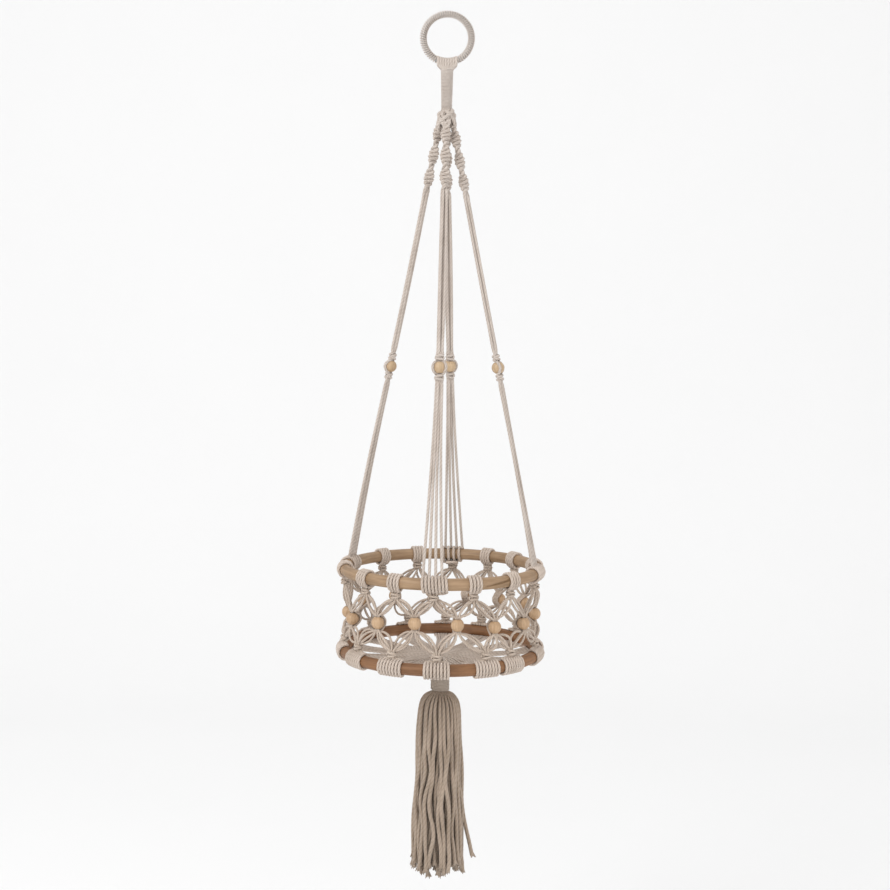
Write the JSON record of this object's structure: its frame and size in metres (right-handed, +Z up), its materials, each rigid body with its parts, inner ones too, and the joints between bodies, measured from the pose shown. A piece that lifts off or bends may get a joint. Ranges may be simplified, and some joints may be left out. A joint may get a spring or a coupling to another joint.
{
  "type": "hanging macrame planter",
  "caption": "Hanging plant holder of knotted cotton cord: a ring, a bound neck, beaded cord arms and a netted basket on two cane hoops with a tassel below.",
  "frame": {"origin": "the hook seat, the inside top of the hanging ring, where a hook carries the planter", "axes": "+Z up, +X to the right and -Y to the front as the planter hangs; the ring lies in the XZ plane"},
  "size_m": [0.251, 0.2514, 1.0287],
  "materials": {
    "cotton_cord": "matte undyed three-ply twisted cotton",
    "steel_wire": "plain drawn wire, almost all covered",
    "pale_cane": "satin peeled rattan cane, light tan",
    "dark_cane": "satin peeled rattan cane, brown",
    "bead_wood": "smooth light wood, thin clear finish"
  },
  "bodies": {
    "ring": {"ring_wire": "steel_wire", "ring_winding": "cotton_cord"},
    "neck": {"neck_cords": "cotton_cord", "neck_binding": "cotton_cord"},
    "crown": {"crown": "cotton_cord"},
    "arms": {"arm_1": "cotton_cord", "arm_2": "cotton_cord", "arm_3": "cotton_cord", "arm_4": "cotton_cord"},
    "arm_beads": {"arm_bead_1": "bead_wood", "arm_bead_2": "bead_wood", "arm_bead_3": "bead_wood", "arm_bead_4": "bead_wood"},
    "upper_hoop": {"upper_hoop": "pale_cane", "larks_head_01": "cotton_cord", "larks_head_02": "cotton_cord", "larks_head_03": "cotton_cord", "larks_head_04": "cotton_cord", "larks_head_05": "cotton_cord", "larks_head_06": "cotton_cord", "larks_head_07": "cotton_cord", "larks_head_08": "cotton_cord", "larks_head_09": "cotton_cord", "larks_head_10": "cotton_cord", "arm_hitch_1": "cotton_cord", "arm_hitch_2": "cotton_cord", "arm_hitch_3": "cotton_cord", "arm_hitch_4": "cotton_cord", "net": "cotton_cord"},
    "net_beads": {"net_bead_01": "bead_wood", "net_bead_02": "bead_wood", "net_bead_03": "bead_wood", "net_bead_04": "bead_wood", "net_bead_05": "bead_wood", "net_bead_06": "bead_wood", "net_bead_07": "bead_wood", "net_bead_08": "bead_wood", "net_bead_09": "bead_wood", "net_bead_10": "bead_wood", "net_bead_11": "bead_wood", "net_bead_12": "bead_wood", "net_bead_13": "bead_wood", "net_bead_14": "bead_wood"},
    "lower_hoop": {"lower_hoop": "dark_cane", "lower_hitch_01": "cotton_cord", "lower_hitch_02": "cotton_cord", "lower_hitch_03": "cotton_cord", "lower_hitch_04": "cotton_cord", "lower_hitch_05": "cotton_cord", "lower_hitch_06": "cotton_cord", "lower_hitch_07": "cotton_cord", "lower_hitch_08": "cotton_cord", "lower_hitch_09": "cotton_cord", "lower_hitch_10": "cotton_cord", "lower_hitch_11": "cotton_cord", "lower_hitch_12": "cotton_cord", "lower_hitch_13": "cotton_cord", "lower_hitch_14": "cotton_cord"},
    "tassel_head": {"tassel_binding": "cotton_cord"},
    "tassel_skirt": {"tassel": "cotton_cord"}
  },
  "joints": [
    {"name": "neck_swing", "type": "hinge", "parent": "ring", "child": "neck", "pos_m": [0, 0, -0.0536], "axis": [1, 0, 0], "range_deg": [-35, 35]},
    {"name": "crown_sway", "type": "hinge", "parent": "neck", "child": "crown", "pos_m": [0, 0, -0.1193], "axis": [0, 1, 0], "range_deg": [-35, 35]},
    {"name": "planter_turn", "type": "hinge", "parent": "crown", "child": "arms", "pos_m": [0, 0, -0.1327], "axis": [0, 0, 1], "range_deg": [-90, 90]},
    {"name": "arms_fold", "type": "slide", "parent": "arms", "child": "upper_hoop", "axis": [0, 0, 1], "range_m": [0, 0.26], "deforming": ["arm_1", "arm_2", "arm_3", "arm_4"]},
    {"name": "arm_beads_fold", "type": "slide", "parent": "arms", "child": "arm_beads", "axis": [0, 0, 1], "range_m": [0, 0.15]},
    {"name": "basket_fold", "type": "slide", "parent": "upper_hoop", "child": "lower_hoop", "axis": [0, 0, 1], "range_m": [0, 0.05], "deforming": ["net"]},
    {"name": "net_beads_fold", "type": "slide", "parent": "upper_hoop", "child": "net_beads", "axis": [0, 0, 1], "range_m": [0, 0.03]},
    {"name": "tassel_swing", "type": "hinge", "parent": "lower_hoop", "child": "tassel_head", "pos_m": [0, 0, -0.77105], "axis": [1, 0, 0], "range_deg": [-40, 40]},
    {"name": "tassel_sway", "type": "hinge", "parent": "tassel_head", "child": "tassel_skirt", "pos_m": [0, 0, -0.81605], "axis": [0, 1, 0], "range_deg": [-30, 30]}
  ],
  "couplings": [
    {"joint": "arm_beads_fold", "follows": "arms_fold", "ratio": 0.5529},
    {"joint": "net_beads_fold", "follows": "basket_fold", "ratio": 0.5257}
  ]
}
